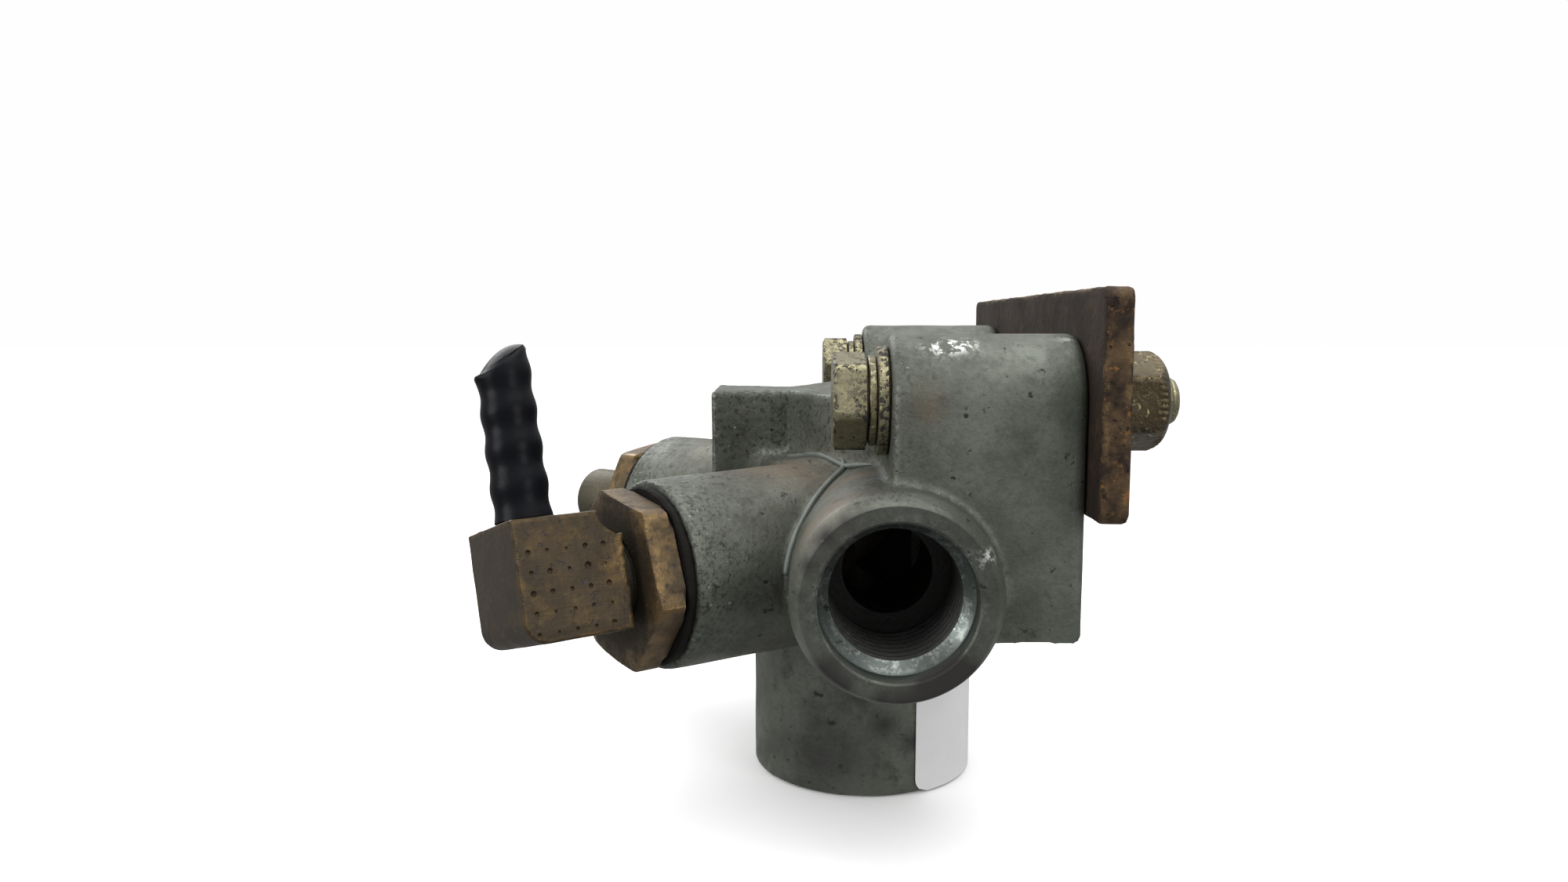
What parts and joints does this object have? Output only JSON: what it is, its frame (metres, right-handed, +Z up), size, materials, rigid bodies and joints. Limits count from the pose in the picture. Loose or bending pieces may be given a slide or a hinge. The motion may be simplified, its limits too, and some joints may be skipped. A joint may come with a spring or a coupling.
{
  "type": "diverter valve",
  "caption": "Die-cast diverter valve with facing threaded ports, a common port below, a turning lever on a gland spindle, and a bolted steel mounting plate.",
  "frame": {"origin": "centre of the mounting plate's outer face", "axes": "+X out of the mounting plate, away from the valve; +Z up, away from the common port; +Y from the front port to the rear port"},
  "size_m": [0.1022, 0.1186, 0.0841],
  "materials": {
    "casting": "die-cast, grey-green conversion coat, mottled and worn",
    "gland_brass": "machined, tarnished brown",
    "spindle_brass": "turned, dull",
    "lever_brass": "sawn and filed, tarnished",
    "seal_rubber": "moulded",
    "gasket_fibre": "oil-soaked fibre",
    "thrust_polymer": "turned",
    "rod_steel": "drawn",
    "grip_rubber": "soft, satin",
    "yellow_zinc": "yellow zinc plate with dark pits",
    "nut_zinc": "dull zinc plate, stained brown",
    "plate_steel": "mild steel with brown rust",
    "label_paper": "blank, matt"
  },
  "bodies": {
    "housing": {"valve_body": "casting", "mounting_plate": "plate_steel", "label": "label_paper", "front_bolt": "yellow_zinc", "rear_bolt": "yellow_zinc", "front_flat_washer": "yellow_zinc", "rear_flat_washer": "yellow_zinc", "front_spring_washer": "yellow_zinc", "rear_spring_washer": "yellow_zinc", "front_lock_nut": "nut_zinc", "rear_lock_nut": "nut_zinc", "front_gland_nut": "gland_brass", "rear_gland_nut": "gland_brass", "front_gland_gasket": "gasket_fibre", "rear_gland_gasket": "gasket_fibre", "front_thrust_washer": "thrust_polymer", "rear_thrust_washer": "thrust_polymer"},
    "lever": {"front_spindle": "spindle_brass", "front_rotor": "spindle_brass", "front_spindle_o_ring_1": "seal_rubber", "front_spindle_o_ring_2": "seal_rubber", "lever_hub": "lever_brass", "lever_rod": "rod_steel", "lever_grip": "grip_rubber"},
    "rear_stem": {"rear_spindle": "spindle_brass", "rear_rotor": "spindle_brass", "rear_spindle_o_ring_1": "seal_rubber", "rear_spindle_o_ring_2": "seal_rubber"}
  },
  "joints": [
    {"name": "lever_turn", "type": "hinge", "parent": "housing", "child": "lever", "pos_m": [-0.03245, -0.0158, -0.0257], "axis": [0.809, 0.5878, 0], "range_deg": [0, 90]},
    {"name": "rear_stem_turn", "type": "hinge", "parent": "housing", "child": "rear_stem", "pos_m": [-0.03245, -0.0091, -0.0257], "axis": [-0.809, 0.5878, 0], "range_deg": [0, 90]}
  ]
}
